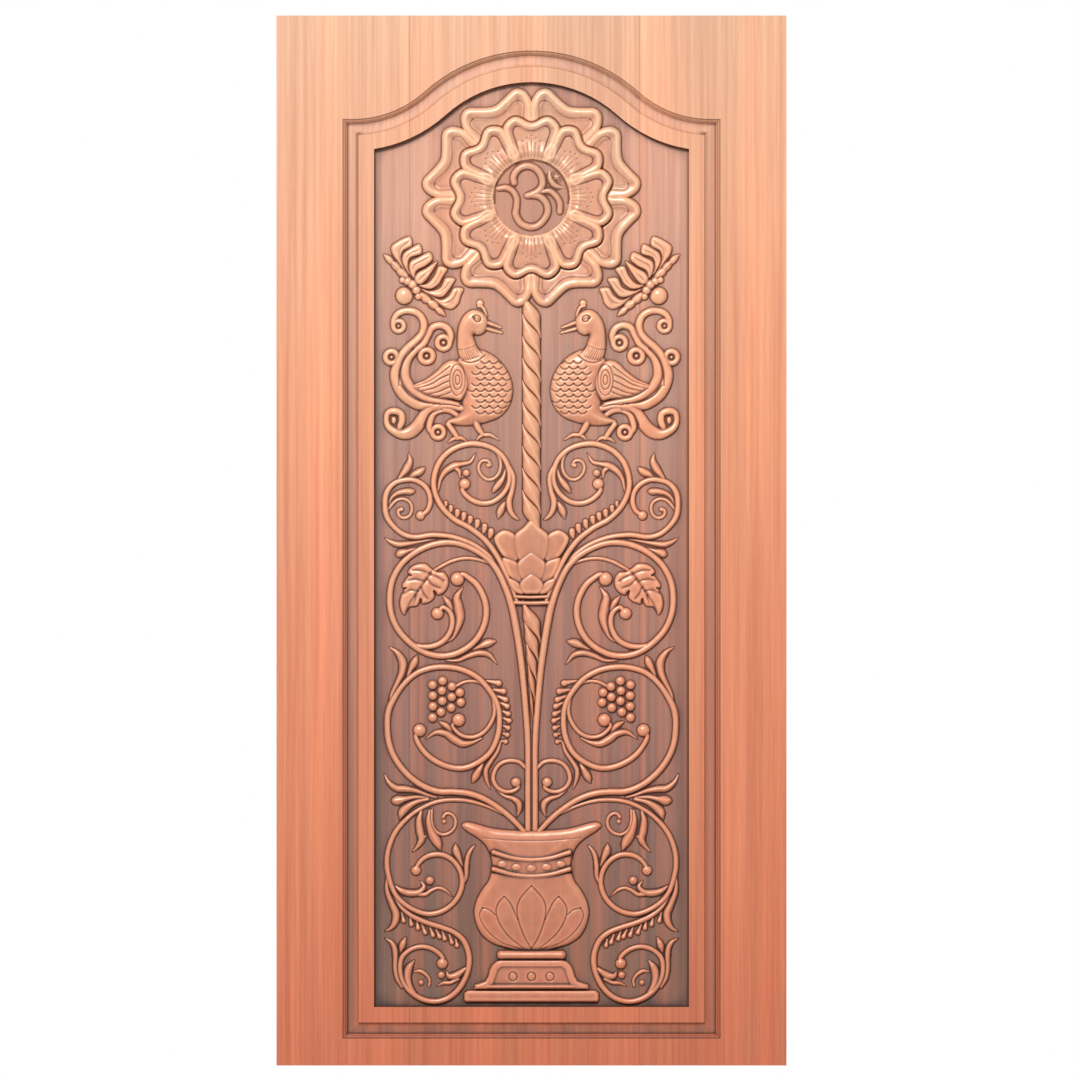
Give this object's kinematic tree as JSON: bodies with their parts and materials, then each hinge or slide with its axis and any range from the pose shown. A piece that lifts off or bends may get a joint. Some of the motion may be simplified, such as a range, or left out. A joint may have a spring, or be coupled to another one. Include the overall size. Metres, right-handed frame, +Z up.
{
  "type": "carved wooden door leaf",
  "caption": "Solid wood temple door leaf with an arched, moulded and sunk panel carved in relief with a vase, scrolling vines, peacocks, lotus sprays and a rosette.",
  "frame": {"origin": "middle of the leaf's bottom edge, half way through its thickness", "axes": "+X to the right as seen from the carved front, +Y from the carved front to the plain back, +Z up the leaf"},
  "size_m": [1.02, 0.045, 2.1],
  "materials": {
    "boards": "satin varnish",
    "carving": "satin varnish, darkened in the recesses"
  },
  "bodies": {
    "root": {"hinge_board": "boards", "centre_board": "boards", "lock_board": "boards", "rosette": "carving", "left_lotus_spray": "carving", "right_lotus_spray": "carving", "left_peacock": "carving", "right_peacock": "carving", "upper_stem": "carving", "lotus_calyx": "carving", "lower_stem": "carving", "left_vine": "carving", "right_vine": "carving", "left_vine_leaf": "carving", "right_vine_leaf": "carving", "left_grapes": "carving", "right_grapes": "carving", "left_berries": "carving", "right_berries": "carving", "vase": "carving"}
  },
  "joints": []
}
